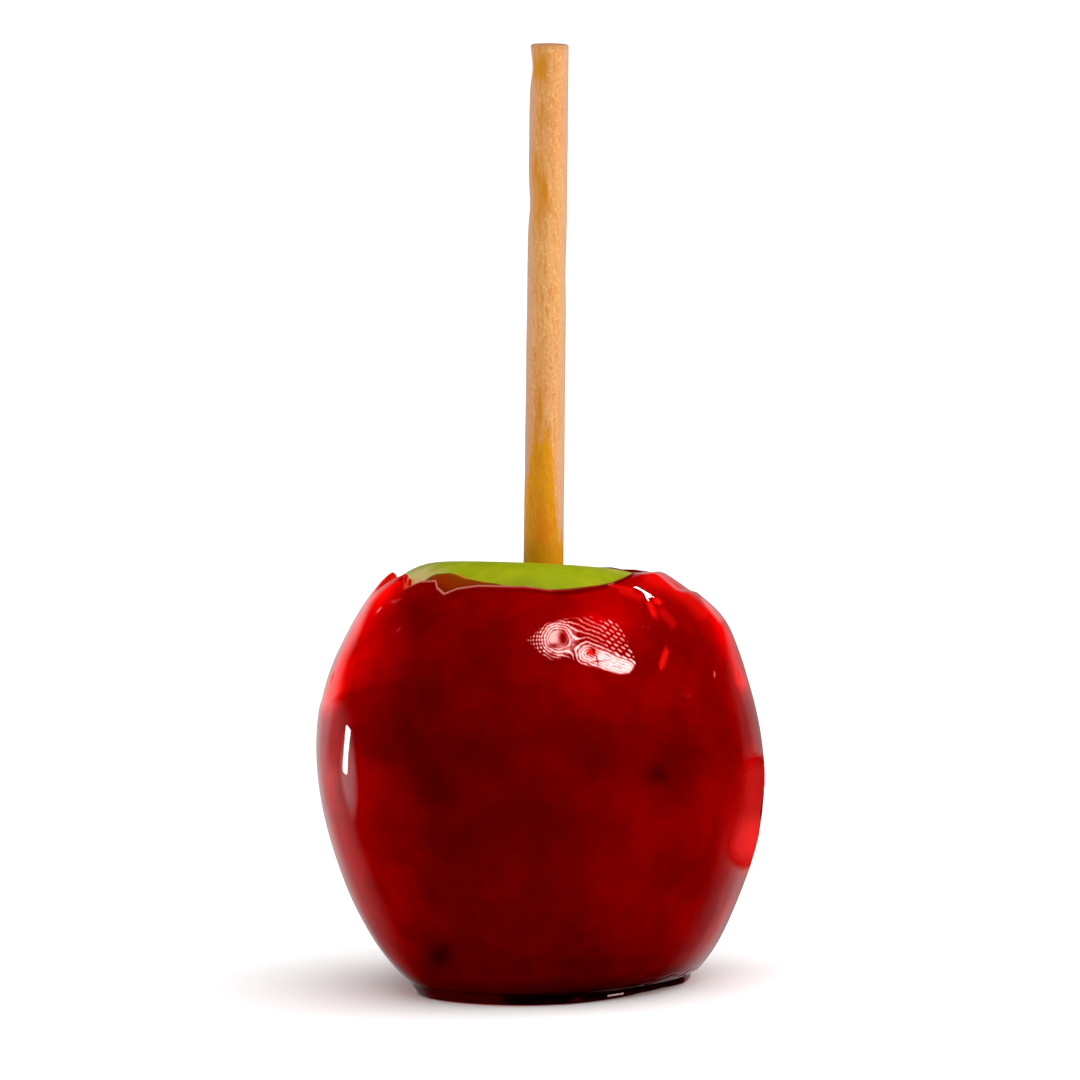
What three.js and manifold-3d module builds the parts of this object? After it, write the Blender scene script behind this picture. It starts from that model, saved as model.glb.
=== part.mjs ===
// Toffee apple: a green apple on a round wooden stick, dipped in hard red candy that
// set as a glassy shell with a torn upper edge and a flat foot where it ran down.
// Millimetres, +Z up. The origin is on the flat underside of the foot, below the core.
// Azimuths are in degrees in the constants: 0 is the front (-Y), 90 is the right (+X).
import * as THREE from "three";
import { mergeVertices } from "three/addons/utils/BufferGeometryUtils.js";
import Module from "manifold-3d";

// The apple
const APPLE_RADIUS = 35.3;
const WIDEST_HEIGHT = 36.5;
const BASE_CREST = { radius: 13.5, height: 3.2 }; // the ring of lobes it would stand on
const BASE_FULLNESS = { out: 14, down: 19 }; // how square the apple is below its widest part
const BASIN_HEIGHT = 8.5; // the deepest point of the flower end
const CROWN_CREST = { radius: 15, height: 69.3 }; // the top of the shoulders
const CROWN_FULLNESS = { up: 23.5, out: 5.2 };
const CAVITY_HEIGHT = 60; // the deepest point round the stick
const CAVITY_STEEPNESS = { rim: 5, floor: 4.5 };
const LOBES = { count: 5, depth: 0.009, turn: 20 };
const OVAL = { depth: 0.006, turn: 35 };
const SWAY = { foot: -0.35, crown: -1.4, from: 18, to: 50 }; // sideways lean of the body
const CROWN_TILT = { perX: -0.085, perY: -0.17, from: 57, to: 69 };

// The candy
const GAP = 0.3; // between candy, apple and stick
const CANDY = 1.7; // usual thickness
const FOOT = { radius: 22.9, height: 1.3, round: 0.6, waist: 0.2 };
const FOOT_WOBBLE = [
  { size: 0.35, around: 3, turn: 0 },
  { size: 0.2, around: 5, turn: 57 },
];
const SKIRT_START = { radius: 24.3, height: 2 }; // where the side leaves the foot
const SKIRT_FLARE = { out: 2, up: 1.8, down: 18.3 };
const WAVES = [
  { size: 0.16, around: 2, along: 1.5, turn: 35 },
  { size: 0.12, around: 3, along: 4, turn: 110 },
  { size: 0.07, around: 7, along: 9, turn: 250 },
];
const THIN_SHOULDER = { depth: 0.2, from: -150, to: -38, line: 0.16, rise: 0.13 };
const FULL_SHOULDER = { height: 1.5, azimuth: 84, width: 36, from: 0.15, to: 0.55 };
const LEDGE = { depth: 0.5, from: 72, to: 118, line: 0.57 }; // the right shoulder steps in here
const EDGE_TAPER = 0.1; // the share of the shoulder over which the candy thins to its edge
const EDGE_THICKNESS = 1;
const EDGE_ROUND = 0.4;

// The torn upper edge: how far up each corner of it reaches, as a share of the way from
// the widest ring to the crest. It runs straight from corner to corner.
const TORN_EDGE = [
  { azimuth: -180, share: 0.88 },
  { azimuth: -160, share: 0.83 },
  { azimuth: -152, share: 0.75 },
  { azimuth: -136, share: 0.71 },
  { azimuth: -122, share: 0.65 },
  { azimuth: -114, share: 0.68 },
  { azimuth: -108, share: 0.59 },
  { azimuth: -81, share: 0.685 },
  { azimuth: -77, share: 0.57 },
  { azimuth: -59, share: 0.665 },
  { azimuth: -52, share: 0.588 },
  { azimuth: -45, share: 0.624 },
  { azimuth: -38, share: 0.628 },
  { azimuth: -36, share: 0.598 },
  { azimuth: -32, share: 0.573 },
  { azimuth: -27, share: 0.596 },
  { azimuth: -19, share: 0.61 },
  { azimuth: -1, share: 0.61 },
  { azimuth: 8, share: 0.597 },
  { azimuth: 16, share: 0.605 },
  { azimuth: 28, share: 0.628 },
  { azimuth: 34, share: 0.645 },
  { azimuth: 44, share: 0.69 },
  { azimuth: 55, share: 0.745 },
  { azimuth: 80, share: 0.795 },
  { azimuth: 98, share: 0.8 },
  { azimuth: 104, share: 0.85 },
  { azimuth: 124, share: 0.87 },
  { azimuth: 130, share: 0.91 },
  { azimuth: 152, share: 0.92 },
  { azimuth: 164, share: 0.86 },
];

// A flat scar where a flake of candy has sprung off the right side, placed by shares of
// the way up the skirt
const SCAR = { azimuth: 86, low: 0.74, high: 0.95, width: 8, inset: 0.55 };

// The stick
const STICK_LENGTH = 140;
const STICK_TOP = 155.3;
const STICK_RADIUS = { top: 3.17, bottom: 3.42 };
const STICK_LEAN = 3.05; // degrees towards +X
const STICK_CROSSES = 46.5; // the height at which its axis meets the apple's axis
const STICK_CHAMFER = 0.25;
const DENTS = [
  { height: 151.5, azimuth: -80, depth: 0.42, tall: 2.6 },
  { height: 129, azimuth: -95, depth: 0.3, tall: 3 },
  { height: 118, azimuth: 60, depth: 0.18, tall: 5 },
  { height: 96, azimuth: 170, depth: 0.25, tall: 4 },
];
const DENT_SPREAD = 50; // degrees round the stick

// How finely each skin is divided
const CANDY_STEP = 4.5; // degrees at most between two columns
const APPLE_SEGMENTS = 48;
const STICK_SEGMENTS = 18;
const STICK_STEPS = 16;

const wasm = await Module();
wasm.setup();

const radians = THREE.MathUtils.degToRad;
const smooth = THREE.MathUtils.smoothstep;

// Degrees from one azimuth to another the short way round, from -180 to 180.
function degreesFrom(centre, azimuth) {
  return THREE.MathUtils.euclideanModulo(azimuth - centre + 180, 360) - 180;
}

// 1 between two azimuths, falling to 0 over the stated degrees outside them.
function between(azimuth, from, to, fade) {
  const half = (to - from) / 2;
  const off = Math.abs(degreesFrom(from + half, azimuth));
  return 1 - smooth(off, half, half + fade);
}

// A round hump of height 1.
function hump(distance, width) {
  return Math.exp(-((distance / width) ** 2));
}

// The apple's outline in (radius, height), from its flower end to its stem end.
const basin = new THREE.CubicBezierCurve(
  new THREE.Vector2(0, BASIN_HEIGHT),
  new THREE.Vector2(BASE_CREST.radius * 0.35, BASIN_HEIGHT),
  new THREE.Vector2(BASE_CREST.radius * 0.65, BASE_CREST.height),
  new THREE.Vector2(BASE_CREST.radius, BASE_CREST.height),
);
const belly = new THREE.CubicBezierCurve(
  basin.v3,
  new THREE.Vector2(BASE_CREST.radius + BASE_FULLNESS.out, BASE_CREST.height),
  new THREE.Vector2(APPLE_RADIUS, WIDEST_HEIGHT - BASE_FULLNESS.down),
  new THREE.Vector2(APPLE_RADIUS, WIDEST_HEIGHT),
);
const shoulder = new THREE.CubicBezierCurve(
  belly.v3,
  new THREE.Vector2(APPLE_RADIUS, WIDEST_HEIGHT + CROWN_FULLNESS.up),
  new THREE.Vector2(CROWN_CREST.radius + CROWN_FULLNESS.out, CROWN_CREST.height),
  new THREE.Vector2(CROWN_CREST.radius, CROWN_CREST.height),
);
const cavity = new THREE.CubicBezierCurve(
  shoulder.v3,
  new THREE.Vector2(CROWN_CREST.radius - CAVITY_STEEPNESS.rim, CROWN_CREST.height),
  new THREE.Vector2(CAVITY_STEEPNESS.floor, CAVITY_HEIGHT),
  new THREE.Vector2(0, CAVITY_HEIGHT),
);

// The candy's side below its widest ring, out to its usual thickness.
const skirt = new THREE.CubicBezierCurve(
  new THREE.Vector2(SKIRT_START.radius, SKIRT_START.height),
  new THREE.Vector2(SKIRT_START.radius + SKIRT_FLARE.out, SKIRT_START.height + SKIRT_FLARE.up),
  new THREE.Vector2(APPLE_RADIUS + CANDY, WIDEST_HEIGHT - SKIRT_FLARE.down),
  new THREE.Vector2(APPLE_RADIUS + CANDY, WIDEST_HEIGHT),
);

// A point of a curve moved outwards, square to the curve.
function offset(curve, share, distance) {
  const along = curve.getTangent(share);
  const outward = new THREE.Vector2(along.y, -along.x);
  return curve.getPoint(share).addScaledVector(outward, distance);
}

// The sum of waves that run round the fruit, at an azimuth in radians.
function ripple(waves, a) {
  return waves.reduce((sum, w) => sum + w.size * Math.sin(w.around * a + radians(w.turn)), 0);
}

// Where the real, uneven fruit has the point that an even one has at this radius and height.
function onFruit(point, azimuth) {
  const a = radians(azimuth);
  const above = smooth(point.y, 0, 14);
  const lobe = LOBES.depth * Math.cos(LOBES.count * (a - radians(LOBES.turn)));
  const oval = OVAL.depth * Math.cos(2 * (a - radians(OVAL.turn)));
  const radius = point.x * (1 + above * (lobe + oval));
  const x = radius * Math.sin(a);
  const y = -radius * Math.cos(a);
  const lean = SWAY.foot + (SWAY.crown - SWAY.foot) * smooth(point.y, SWAY.from, SWAY.to);
  const crown = smooth(point.y, CROWN_TILT.from, CROWN_TILT.to);
  const rise = crown * (CROWN_TILT.perX * x + CROWN_TILT.perY * y);
  return new THREE.Vector3(x + lean * above, y, point.y + rise);
}

// The torn edge's corners with more columns between them where they lie far apart.
function candyColumns() {
  const columns = [];
  TORN_EDGE.forEach((corner, i) => {
    const next = TORN_EDGE[(i + 1) % TORN_EDGE.length];
    const span = THREE.MathUtils.euclideanModulo(next.azimuth - corner.azimuth, 360);
    const steps = Math.ceil(span / CANDY_STEP);
    for (let k = 0; k < steps; k++) {
      columns.push({
        azimuth: corner.azimuth + (span * k) / steps,
        edge: THREE.MathUtils.lerp(corner.share, next.share, k / steps),
      });
    }
  });
  return columns;
}

// How thick the candy is over the apple, with the gap, at a share of the shoulder.
// A share below 0 is on the skirt.
function candyThickness(share, azimuth) {
  const a = radians(azimuth);
  let thick = CANDY;
  for (const wave of WAVES) {
    thick += wave.size * Math.sin(wave.around * a + wave.along * share + radians(wave.turn));
  }
  const line = THIN_SHOULDER.line + THIN_SHOULDER.rise * smooth(azimuth, -90, THIN_SHOULDER.to);
  const thin = between(azimuth, THIN_SHOULDER.from, THIN_SHOULDER.to, 12);
  thick -= THIN_SHOULDER.depth * thin * smooth(share, line, line + 0.03);
  const full = hump(degreesFrom(FULL_SHOULDER.azimuth, azimuth), FULL_SHOULDER.width);
  thick += FULL_SHOULDER.height * full * smooth(share, FULL_SHOULDER.from, FULL_SHOULDER.to);
  const ledge = between(azimuth, LEDGE.from, LEDGE.to, 10);
  return thick - LEDGE.depth * ledge * smooth(share, LEDGE.line, LEDGE.line + 0.02);
}

// The same, thinning towards the torn edge.
function candyNearEdge(share, edge, azimuth) {
  const near = 1 - smooth(edge - share, 0, EDGE_TAPER);
  return THREE.MathUtils.lerp(candyThickness(share, azimuth), EDGE_THICKNESS + GAP, near ** 2);
}

// The candy's section at one column: up its outside from the middle of the foot to the
// torn edge, over it, and down its inside to the flower end.
function candySection({ azimuth, edge }) {
  const points = [];
  const footEdge = FOOT.radius + ripple(FOOT_WOBBLE, radians(azimuth));
  points.push(new THREE.Vector2(0, 0));
  points.push(new THREE.Vector2(footEdge / 2, 0));
  points.push(new THREE.Vector2(footEdge - FOOT.round, 0));
  points.push(new THREE.Vector2(footEdge, FOOT.round / 2));
  points.push(new THREE.Vector2(footEdge, FOOT.height));
  points.push(new THREE.Vector2(footEdge - FOOT.waist, (FOOT.height + SKIRT_START.height) / 2));

  const skirtSteps = 10;
  for (let i = 0; i < skirtSteps; i++) {
    const share = i / skirtSteps;
    const swell = (candyThickness(share - 1, azimuth) - CANDY) * smooth(share, 0, 0.4);
    points.push(offset(skirt, share, swell));
  }
  const outSteps = 15;
  for (let i = 0; i <= outSteps; i++) {
    const share = (edge * i) / outSteps;
    points.push(offset(shoulder, share, candyNearEdge(share, edge, azimuth)));
  }
  const tip = offset(shoulder, edge, GAP + EDGE_THICKNESS / 2);
  points.push(tip.addScaledVector(shoulder.getTangent(edge), EDGE_ROUND));
  const inside = [
    [shoulder, edge, 9],
    [belly, 1, 10],
    [basin, 1, 4],
  ];
  for (const [curve, from, steps] of inside) {
    for (let i = steps; i > 0; i--) {
      points.push(offset(curve, (from * i) / steps, GAP));
    }
  }
  points.push(new THREE.Vector2(0, BASIN_HEIGHT - GAP));
  return points;
}

function appleSection() {
  const points = [];
  const runs = [
    [basin, 4],
    [belly, 10],
    [shoulder, 11],
    [cavity, 7],
  ];
  for (const [curve, steps] of runs) {
    for (let i = 0; i < steps; i++) {
      points.push(curve.getPoint(i / steps));
    }
  }
  points.push(cavity.getPoint(1));
  return points;
}

// A lathe with a section of its own at each column, shaped like the fruit.
function turned(columns, sectionAt) {
  const geometry = new THREE.LatheGeometry(sectionAt(columns[0]), columns.length);
  const position = geometry.getAttribute("position");
  const rows = position.count / (columns.length + 1);
  for (let i = 0; i <= columns.length; i++) {
    const column = columns[i % columns.length];
    sectionAt(column).forEach((point, j) => {
      position.setXYZ(i * rows + j, ...onFruit(point, column.azimuth).toArray());
    });
  }
  return closed(geometry);
}

// A geometry with its shared vertices merged, as a closed surface needs.
function closed(geometry) {
  geometry.deleteAttribute("normal");
  geometry.deleteAttribute("uv");
  return mergeVertices(geometry, 1e-4);
}

function toSolid(geometry) {
  const vertProperties = new Float32Array(geometry.getAttribute("position").array);
  const triVerts = new Uint32Array(geometry.index.array);
  return new wasm.Manifold(new wasm.Mesh({ numProp: 3, vertProperties, triVerts }));
}

function toGeometry(solid) {
  const mesh = solid.getMesh();
  const geometry = new THREE.BufferGeometry();
  geometry.setAttribute("position", new THREE.BufferAttribute(mesh.vertProperties, 3));
  geometry.setIndex(new THREE.BufferAttribute(mesh.triVerts, 1));
  return geometry;
}

// An upright round bar as long as the stick and as thick, grown all over by a gap. Its
// origin is the point of the stick that crosses the apple's axis.
function stickBar(steps, gap) {
  const length = STICK_LENGTH + gap;
  const bar = new THREE.CylinderGeometry(
    STICK_RADIUS.top + gap,
    STICK_RADIUS.bottom + gap,
    length,
    STICK_SEGMENTS,
    steps,
  );
  bar.rotateX(Math.PI / 2);
  bar.translate(0, 0, STICK_TOP - STICK_CROSSES - length / 2);
  return closed(bar);
}

// Where that bar stands.
const stickPlace = new THREE.Matrix4()
  .makeRotationY(radians(STICK_LEAN))
  .setPosition(0, 0, STICK_CROSSES);

// The bar with shallow dents, and a small chamfer round each end.
function makeStick() {
  const bar = stickBar(STICK_STEPS, 0);
  const position = bar.getAttribute("position");
  const top = STICK_TOP - STICK_CROSSES;
  for (let i = 0; i < position.count; i++) {
    const point = new THREE.Vector3().fromBufferAttribute(position, i);
    const radius = Math.hypot(point.x, point.y);
    if (radius < STICK_RADIUS.top / 2) continue;
    const azimuth = THREE.MathUtils.radToDeg(Math.atan2(point.x, -point.y));
    const atEnd = point.z > top - STICK_CHAMFER || point.z < top - STICK_LENGTH + STICK_CHAMFER;
    let depth = atEnd ? STICK_CHAMFER : 0;
    for (const dent of DENTS) {
      const facing = hump(degreesFrom(dent.azimuth, azimuth), DENT_SPREAD);
      depth += dent.depth * facing * hump(point.z + STICK_CROSSES - dent.height, dent.tall);
    }
    const kept = (radius - depth) / radius;
    position.setXYZ(i, point.x * kept, point.y * kept, point.z);
  }
  return bar;
}

function makeApple() {
  const columns = Array.from({ length: APPLE_SEGMENTS }, (_, i) => ({
    azimuth: (360 * i) / APPLE_SEGMENTS,
  }));
  const fruit = toSolid(turned(columns, appleSection));
  const bore = toSolid(stickBar(1, GAP).applyMatrix4(stickPlace));
  return toGeometry(fruit.subtract(bore));
}

function makeCandy() {
  const shell = toSolid(turned(candyColumns(), candySection));
  return toGeometry(shell.subtract(toSolid(makeScar())));
}

// The block that leaves the flat scar: it goes deepest at its lower end.
function makeScar() {
  const low = skirt.getPoint(SCAR.low);
  low.x -= SCAR.inset;
  const high = skirt.getPoint(SCAR.high);
  const length = low.distanceTo(high);
  const block = new THREE.BoxGeometry(SCAR.width, SCAR.width, length);
  block.translate(SCAR.width / 2, 0, length / 2);
  block.rotateY(Math.atan2(high.x - low.x, high.y - low.y));
  block.translate(low.x + SWAY.foot, 0, low.y);
  block.rotateZ(radians(SCAR.azimuth - 90));
  return closed(block);
}

function part(name, geometry, colour, roughness) {
  geometry.computeVertexNormals();
  const material = new THREE.MeshStandardMaterial({ color: colour, roughness, metalness: 0 });
  const mesh = new THREE.Mesh(geometry, material);
  mesh.name = name;
  return mesh;
}

const stick = part("stick", makeStick(), 0xdc9a50, 0.75);
stick.applyMatrix4(stickPlace);

const toffeeApple = new THREE.Group();
toffeeApple.add(part("apple", makeApple(), 0x9aa814, 0.45));
toffeeApple.add(part("candy_shell", makeCandy(), 0x8c0404, 0.06));
toffeeApple.add(stick);

export default toffeeApple;
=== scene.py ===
from math import atan2, cos, degrees, exp, hypot, log, pi, radians, sin, tan, tau

import bmesh
import bpy
from bpy.props import FloatProperty, FloatVectorProperty, PointerProperty
from mathutils import Matrix, Vector, noise


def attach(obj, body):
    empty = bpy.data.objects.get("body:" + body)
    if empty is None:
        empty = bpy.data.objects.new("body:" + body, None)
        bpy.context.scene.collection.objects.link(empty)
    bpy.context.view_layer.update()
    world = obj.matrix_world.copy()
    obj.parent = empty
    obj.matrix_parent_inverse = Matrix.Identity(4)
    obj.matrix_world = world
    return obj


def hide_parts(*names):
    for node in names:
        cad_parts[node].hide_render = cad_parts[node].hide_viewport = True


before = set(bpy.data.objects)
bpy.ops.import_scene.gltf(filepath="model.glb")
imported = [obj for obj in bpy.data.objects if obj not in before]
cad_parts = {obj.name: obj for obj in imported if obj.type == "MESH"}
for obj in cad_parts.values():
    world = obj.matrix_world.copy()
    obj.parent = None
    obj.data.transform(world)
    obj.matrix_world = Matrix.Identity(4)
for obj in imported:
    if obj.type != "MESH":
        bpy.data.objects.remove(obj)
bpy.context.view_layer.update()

bl_info = {
    "name": "Toffee apple",
    "version": (1, 0, 0),
    "blender": (4, 5, 0),
    "location": "View3D > Sidebar > Toffee apple",
    "description": "An apple on a stick under a glassy shell of hard red candy",
    "category": "Object",
}

# Shapes are worked out in millimetres and put in place in metres.
MM = 0.001


# ---- Numbers and curves ----


def lerp(a, b, share):
    return a + (b - a) * share


def smooth(value, low, high):
    """0 below low, 1 above high, and a smooth step between them."""
    share = min(1.0, max(0.0, (value - low) / (high - low)))
    return share * share * (3 - 2 * share)


def degrees_from(centre, azimuth):
    """Degrees from one azimuth to another the short way round."""
    return (azimuth - centre + 180) % 360 - 180


def between(azimuth, low, high, fade):
    """1 between two azimuths, falling to 0 over fade degrees outside them."""
    half = (high - low) / 2
    return 1 - smooth(abs(degrees_from(low + half, azimuth)), half, half + fade)


def hump(distance, width):
    """1 in the middle, falling away softly to each side."""
    return exp(-((distance / width) ** 2))


def spot(across, up, wide, tall):
    """1 in the middle of a soft oval of a half width and a half height."""
    return hump(hypot(across / wide, up / tall), 1)


def ripple(waves, turn, share=0.0):
    """The sum of waves round a piece, each of a size, its number round and along the
    piece, and where it starts in degrees."""
    total = 0.0
    for size, around, along, start in waves:
        total += size * sin(around * turn + along * share + radians(start))
    return total


def bezier(points, share):
    """The point of a curve of four points at a share of the way along."""
    rest = 1 - share
    weights = (rest**3, 3 * rest * rest * share, 3 * rest * share * share, share**3)
    return tuple(sum(w * p[i] for w, p in zip(weights, points)) for i in (0, 1))


def heading(points, share):
    """The unit direction in which a curve runs."""
    rest = 1 - share
    weights = (rest * rest, 2 * rest * share, share * share)
    spans = [(end[0] - start[0], end[1] - start[1]) for start, end in zip(points, points[1:])]
    x, y = (sum(w * span[i] for w, span in zip(weights, spans)) for i in (0, 1))
    length = hypot(x, y)
    return x / length, y / length


def offset(points, share, distance):
    """A point of a curve moved out square to it."""
    x, y = bezier(points, share)
    along = heading(points, share)
    return x + along[1] * distance, y - along[0] * distance


# ---- The fruit's form, in millimetres as (radius, height) ----

APPLE_RADIUS = 35.3
WIDEST = 36.5
BASE_CREST = (13.5, 3.2)
BASIN_HEIGHT = 8.5
CROWN_CREST = (15.0, 69.3)
CAVITY_HEIGHT = 60.0

# How uneven the fruit is: its lobes and its oval (how many, their share of the radius,
# where they start), the heights over which they come in above its foot, how far it sways
# to its side between two heights, and how its crown tilts to the right and to the back.
UNEVEN = ((5, 0.009, 20), (2, 0.006, 35))
ABOVE_FOOT = (0, 14)
SWAY = {"sides": (-0.35, -1.4), "rise": (18, 50)}
TILT = {"right": -0.085, "back": -0.17, "rise": (57, 69)}

# Each curve of the section, as its two ends and the two points that it leans towards.
BASIN = (
    (0.0, BASIN_HEIGHT),
    (BASE_CREST[0] * 0.35, BASIN_HEIGHT),
    (BASE_CREST[0] * 0.65, BASE_CREST[1]),
    BASE_CREST,
)
BELLY = (
    BASE_CREST,
    (BASE_CREST[0] + 14, BASE_CREST[1]),
    (APPLE_RADIUS, WIDEST - 19),
    (APPLE_RADIUS, WIDEST),
)
SHOULDER = (
    (APPLE_RADIUS, WIDEST),
    (APPLE_RADIUS, WIDEST + 23.5),
    (CROWN_CREST[0] + 5.2, CROWN_CREST[1]),
    CROWN_CREST,
)
CAVITY = (
    CROWN_CREST,
    (CROWN_CREST[0] - 5, CROWN_CREST[1]),
    (4.5, CAVITY_HEIGHT),
    (0.0, CAVITY_HEIGHT),
)

# The candy: how thick it is, how far its solid stands off the fruit, its side from the foot
# to the widest place, its foot, and the waves round its foot and in its thickness.
CANDY = 1.7
GAP = 0.3
SKIRT = (
    (24.3, 2.0),
    (26.3, 3.8),
    (APPLE_RADIUS + CANDY, WIDEST - 18.3),
    (APPLE_RADIUS + CANDY, WIDEST),
)
FOOT = {"radius": 22.9, "round": 0.6, "waist": 0.2}
FOOT_WOBBLE = ((0.35, 3, 0, 0), (0.2, 5, 0, 57))
WAVES = ((0.16, 2, 1.5, 35), (0.12, 3, 4, 110), (0.07, 7, 9, 250))

# Where the candy is thinner over the loose flap at the left, heavy where it ran at the
# right, and thinner again above the run. A span holds the azimuths between which it is and
# their fade, and a line or a rise shares of the shoulder.
FLAP = {"thin": 0.2, "span": (-150, -38, 12), "line": (0.16, 0.29), "turn": (-90, -38), "step": 0.03}
RUN = {"thick": 1.5, "azimuth": 84, "half": 36, "rise": (0.15, 0.55)}
LEDGE = {"thin": 0.5, "span": (72, 118, 10), "rise": (0.57, 0.59)}

# The candy's torn edge: where it starts to thin, as a share of the shoulder, how thick it
# ends and how round it is.
EDGE_TAPER = 0.1
EDGE_THICKNESS = 1.0
EDGE_ROUND = 0.4

# The torn edge: the azimuth of each corner and how far up the shoulder it reaches.
TORN_EDGE = (
    (-180, 0.88), (-160, 0.83), (-152, 0.75), (-136, 0.71), (-122, 0.65), (-114, 0.68),
    (-108, 0.59), (-81, 0.685), (-77, 0.57), (-59, 0.665), (-52, 0.588), (-45, 0.624),
    (-38, 0.628), (-36, 0.598), (-32, 0.573), (-27, 0.596), (-19, 0.61), (-1, 0.61),
    (8, 0.597), (16, 0.605), (28, 0.628), (34, 0.645), (44, 0.69), (55, 0.745), (80, 0.795),
    (98, 0.8), (104, 0.85), (124, 0.87), (130, 0.91), (152, 0.92), (164, 0.86), (180, 0.88),
)

# The thin glaze beyond the torn edge: azimuth and how many millimetres past the edge it
# reaches. Then how thick it is, the length of the shoulder that shares are of, and the
# distance that stands for any place off the shoulder.
GLAZE_REACH = (
    (-180, 0.5), (-60, 0.5), (-51, 0.6), (-48, 3.6), (-46, 4.4), (-38, 4.6), (-36, 5.8),
    (-34, 6.1), (-32, 6.3), (-29, 4.8), (-27, 4.1), (-22, 3.1), (-19, 2.5), (-13, 2.2),
    (-5, 0.8), (0, 0.4), (8, 0.3), (60, 0.3), (120, 0.9), (180, 0.5),
)
GLAZE = 0.25
SHOULDER_LENGTH = 44.0
FAR_PAST = 20.0

# How far the candy keeps inside its solid, and how much further at the heavy run.
SLACK = {"all": 0.03, "side": 0.05, "span": (70, 110, 20)}

# How the camera looks at the apple.
LOOK_DOWN = 6.91
ROLL = 2.4
CAMERA_DISTANCE = 2.0
FRAME_PIXELS = 1080
PIXELS_PER_MM = 6.06
FOOT_PIXEL = (553.5, 983.0)
MIDDLE = (
    (FRAME_PIXELS / 2 - FOOT_PIXEL[0]) / PIXELS_PER_MM,
    (FOOT_PIXEL[1] - FRAME_PIXELS / 2) / PIXELS_PER_MM,
)


def along_stops(stops, place):
    """The value at a place of a list of (place, value), and its end values outside it."""
    if place <= stops[0][0]:
        return stops[0][1]
    for (low, start), (high, end) in zip(stops, stops[1:]):
        if place <= high:
            return lerp(start, end, (place - low) / (high - low))
    return stops[-1][1]


def round_stops(stops, azimuth):
    """The same for a list of (azimuth, value) that runs from -180 to 180."""
    return along_stops(stops, degrees_from(0, azimuth))


def on_fruit(point, azimuth):
    """Where the uneven fruit has a point of the even section, in millimetres."""
    turn = radians(azimuth)
    above = smooth(point[1], *ABOVE_FOOT)
    swell = 0.0
    for lobes, size, start in UNEVEN:
        swell += size * cos(lobes * (turn - radians(start)))
    radius = point[0] * (1 + above * swell)
    x = radius * sin(turn)
    y = -radius * cos(turn)
    lean = lerp(*SWAY["sides"], smooth(point[1], *SWAY["rise"]))
    rise = smooth(point[1], *TILT["rise"]) * (TILT["right"] * x + TILT["back"] * y)
    return Vector((x + lean * above, y, point[1] + rise))


def azimuth_of(co):
    """Degrees round from the front, positive to the right."""
    return degrees(atan2(co.x, -co.y))


def camera_axes(tilt, roll):
    """The directions right, up and forward of the camera's picture."""
    up = Vector((0, sin(tilt), cos(tilt)))
    right = Vector((1, 0, 0))
    forward = Vector((0, cos(tilt), -sin(tilt)))
    return (
        right * cos(roll) - up * sin(roll),
        right * sin(roll) + up * cos(roll),
        forward,
    )


AXES = camera_axes(radians(LOOK_DOWN), radians(ROLL))


def as_seen(co):
    """Millimetres right of the foot and up from it at which the camera sees a point."""
    near = 1 / (1 + co.dot(AXES[2]) * MM / CAMERA_DISTANCE)
    right = MIDDLE[0] + (co.dot(AXES[0]) - MIDDLE[0]) * near
    return right, MIDDLE[1] + (co.dot(AXES[1]) - MIDDLE[1]) * near


def to_path(point, path):
    """The distance of a point from a line of straight steps."""
    distances = []
    for start, end in zip(path, path[1:]):
        step = (end[0] - start[0], end[1] - start[1])
        reach = (point[0] - start[0], point[1] - start[1])
        share = (reach[0] * step[0] + reach[1] * step[1]) / (step[0] ** 2 + step[1] ** 2)
        share = min(1.0, max(0.0, share))
        distances.append(hypot(reach[0] - step[0] * share, reach[1] - step[1] * share))
    return min(distances)


def candy_thickness(share, azimuth):
    """How thick the candy is over the apple, with the gap, at a share of the shoulder."""
    thick = CANDY + ripple(WAVES, radians(azimuth), share)
    line = lerp(*FLAP["line"], smooth(azimuth, *FLAP["turn"]))
    thick -= FLAP["thin"] * between(azimuth, *FLAP["span"]) * smooth(share, line, line + FLAP["step"])
    ran = hump(degrees_from(RUN["azimuth"], azimuth), RUN["half"])
    thick += RUN["thick"] * ran * smooth(share, *RUN["rise"])
    return thick - LEDGE["thin"] * between(azimuth, *LEDGE["span"]) * smooth(share, *LEDGE["rise"])


def candy_near_edge(share, edge, azimuth):
    """The same thickness, brought down to the edge's own close to the torn edge."""
    near = 1 - smooth(edge - share, 0, EDGE_TAPER)
    return lerp(candy_thickness(share, azimuth), EDGE_THICKNESS + GAP, near**2)


# ---- Mesh helpers ----

# In metres: how near the axis a vertex counts as on it, and how near two count as one.
ON_AXIS = 1e-6
SAME_PLACE = 1e-8


def lathe(section, columns):
    """A closed skin spun round Z from a (radius, height) section that starts and ends on
    the axis. Returns the bmesh and the layer that holds each vertex's row."""
    bm = bmesh.new()
    row = bm.verts.layers.float.new("row")
    verts = [bm.verts.new((radius * MM, 0, height * MM)) for radius, height in section]
    for i, vert in enumerate(verts):
        vert[row] = i
    edges = [bm.edges.new(pair) for pair in zip(verts, verts[1:])]
    bmesh.ops.spin(bm, geom=verts + edges, axis=(0, 0, 1), angle=tau, steps=columns, use_merge=True)
    bmesh.ops.remove_doubles(bm, verts=bm.verts, dist=10 * SAME_PLACE)
    return bm, row


def form(bm, row, point_at):
    """Moves each vertex of a lathed skin to the place of its row at its own azimuth."""
    for vert in bm.verts:
        azimuth = azimuth_of(vert.co) if vert.co.xy.length > ON_AXIS else 0.0
        vert.co = on_fruit(point_at(vert[row], azimuth), azimuth) * MM
    bmesh.ops.remove_doubles(bm, verts=bm.verts, dist=SAME_PLACE)
    bmesh.ops.recalc_face_normals(bm, faces=bm.faces)


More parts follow.
